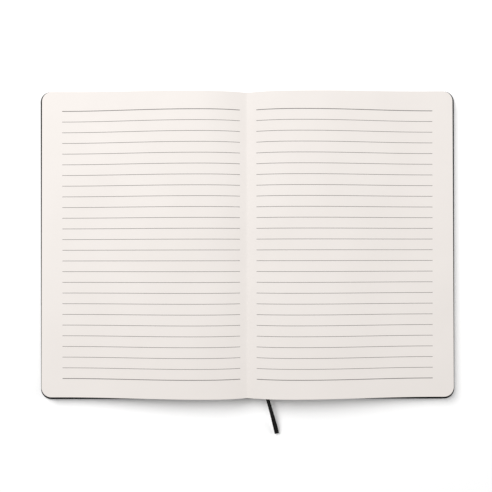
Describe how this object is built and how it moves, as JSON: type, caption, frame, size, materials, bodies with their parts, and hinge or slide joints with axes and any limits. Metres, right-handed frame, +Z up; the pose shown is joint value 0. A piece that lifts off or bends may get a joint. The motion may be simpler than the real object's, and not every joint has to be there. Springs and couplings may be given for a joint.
{
  "type": "ruled notebook",
  "caption": "Hardcover ruled notebook lying open near its middle, with a wrapped black cover hinged along both sides of the spine, cream lined pages and a ribbon marker.",
  "frame": {"origin": "under the middle of the open cover, on the surface that the notebook lies on", "axes": "+X towards the right-hand page, +Y towards the head of the pages, +Z up out of the pages"},
  "size_m": [0.2826, 0.2342, 0.0148],
  "materials": {
    "paper": "uncoated cream writing paper",
    "ink": "thin matte grey printed line",
    "lining_cloth": "open-weave cotton set in glue",
    "board": "grey pulp board",
    "cover_skin": "fine-grained black leather-look skin, satin",
    "endpaper": "cream endpaper",
    "ribbon": "black satin woven ribbon"
  },
  "bodies": {
    "pages": {"page_block": "paper", "ruled_lines": "ink", "spine_lining": "lining_cloth", "spine_strip": "board", "spine_skin": "cover_skin", "ribbon_marker": "ribbon"},
    "front_cover": {"front_board": "board", "front_cover_skin": "cover_skin", "front_pastedown": "endpaper"},
    "back_cover": {"back_board": "board", "back_cover_skin": "cover_skin", "back_pastedown": "endpaper"}
  },
  "joints": [
    {"name": "front_cover_hinge", "type": "hinge", "parent": "pages", "child": "front_cover", "pos_m": [-0.0091, 0, 0.0009], "axis": [0, -1, 0], "range_deg": [0, 93]},
    {"name": "back_cover_hinge", "type": "hinge", "parent": "pages", "child": "back_cover", "pos_m": [0.0091, 0, 0.0009], "axis": [0, 1, 0], "range_deg": [0, 93]}
  ]
}
